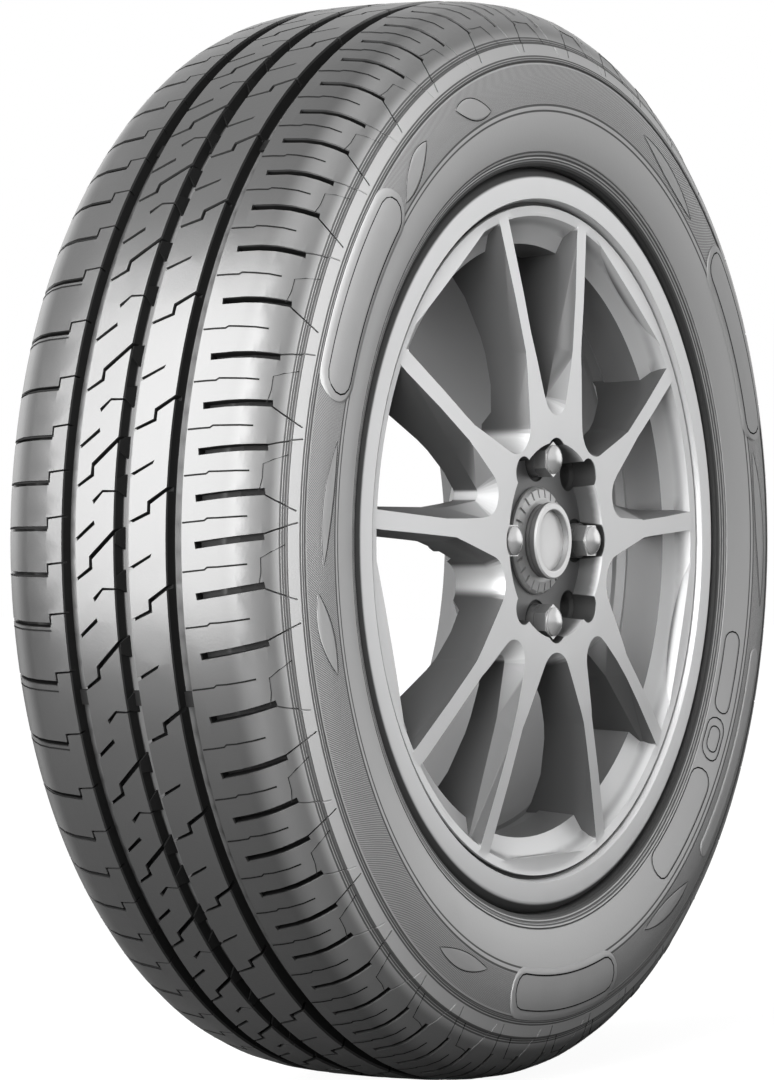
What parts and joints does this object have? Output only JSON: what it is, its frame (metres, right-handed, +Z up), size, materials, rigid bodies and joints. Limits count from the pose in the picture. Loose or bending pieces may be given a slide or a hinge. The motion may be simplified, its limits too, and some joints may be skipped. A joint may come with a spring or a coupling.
{
  "type": "car tyre on alloy wheel",
  "caption": "Road car tyre with three circumferential grooves and slotted shoulders, mounted on a cast alloy wheel with paired spokes, wheel bolts and a centre cap.",
  "frame": {"origin": "centre of the axle at the middle plane of the tyre", "axes": "+Y along the axle towards the car, -Y out of the wheel's visible face, +Z up, +X to complete a right-handed frame"},
  "size_m": [0.6029, 0.186, 0.603],
  "materials": {
    "tyre": "satin",
    "alloy": "satin painted silver",
    "cap": "satin silver",
    "ring": "as cast",
    "bolt": "polished head",
    "valve": "matt",
    "valve_cap": "matt"
  },
  "bodies": {
    "root": {"tyre": "tyre", "alloy_wheel": "alloy", "centre_cap": "cap", "cap_ring": "ring", "wheel_bolt_1": "bolt", "wheel_bolt_2": "bolt", "wheel_bolt_3": "bolt", "wheel_bolt_4": "bolt", "valve_stem": "valve", "valve_cap": "valve_cap"}
  },
  "joints": []
}
